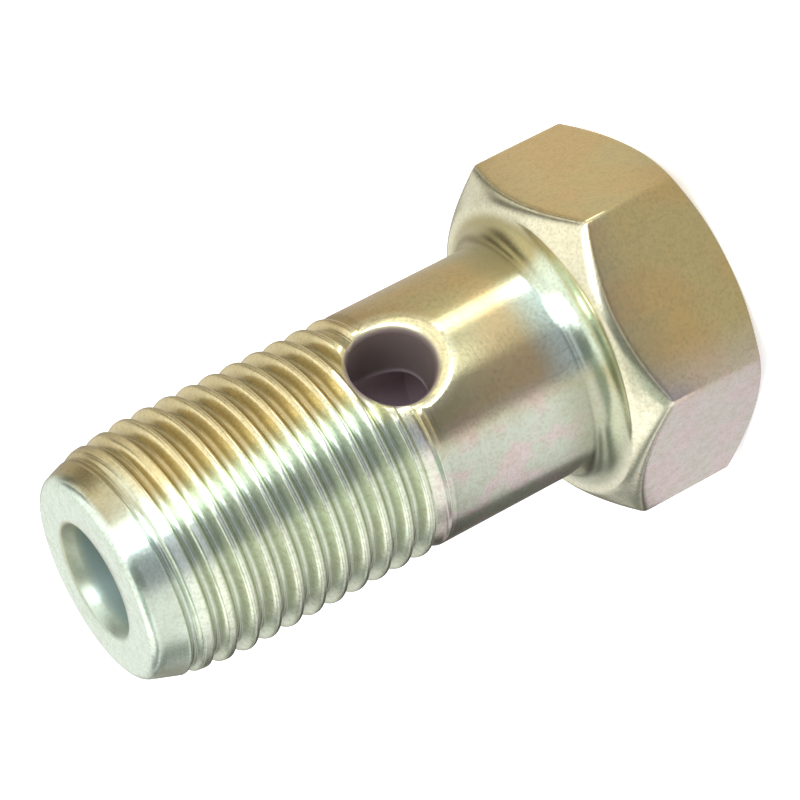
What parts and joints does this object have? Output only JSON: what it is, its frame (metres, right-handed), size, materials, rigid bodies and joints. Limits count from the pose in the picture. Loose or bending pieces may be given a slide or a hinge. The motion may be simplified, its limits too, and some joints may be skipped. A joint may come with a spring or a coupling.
{
  "type": "banjo bolt",
  "caption": "Hollow hexagon-head bolt with a threaded end, a blind axial bore and a cross drilling, that clamps a ring fitting and carries fluid into it.",
  "frame": {"origin": "centre of the top of the head, on the bolt's axis; the bolt stands on it", "axes": "+Z along the axis from the head to the threaded tip; the cross drilling runs along Y; two flats of the hexagon face +X and -X"},
  "size_m": [0.019, 0.022, 0.0375],
  "materials": {
    "plated_steel": "yellow-chromated zinc plating, satin, with a faint green and pink cast"
  },
  "bodies": {
    "root": {"banjo_bolt": "plated_steel"}
  },
  "joints": []
}
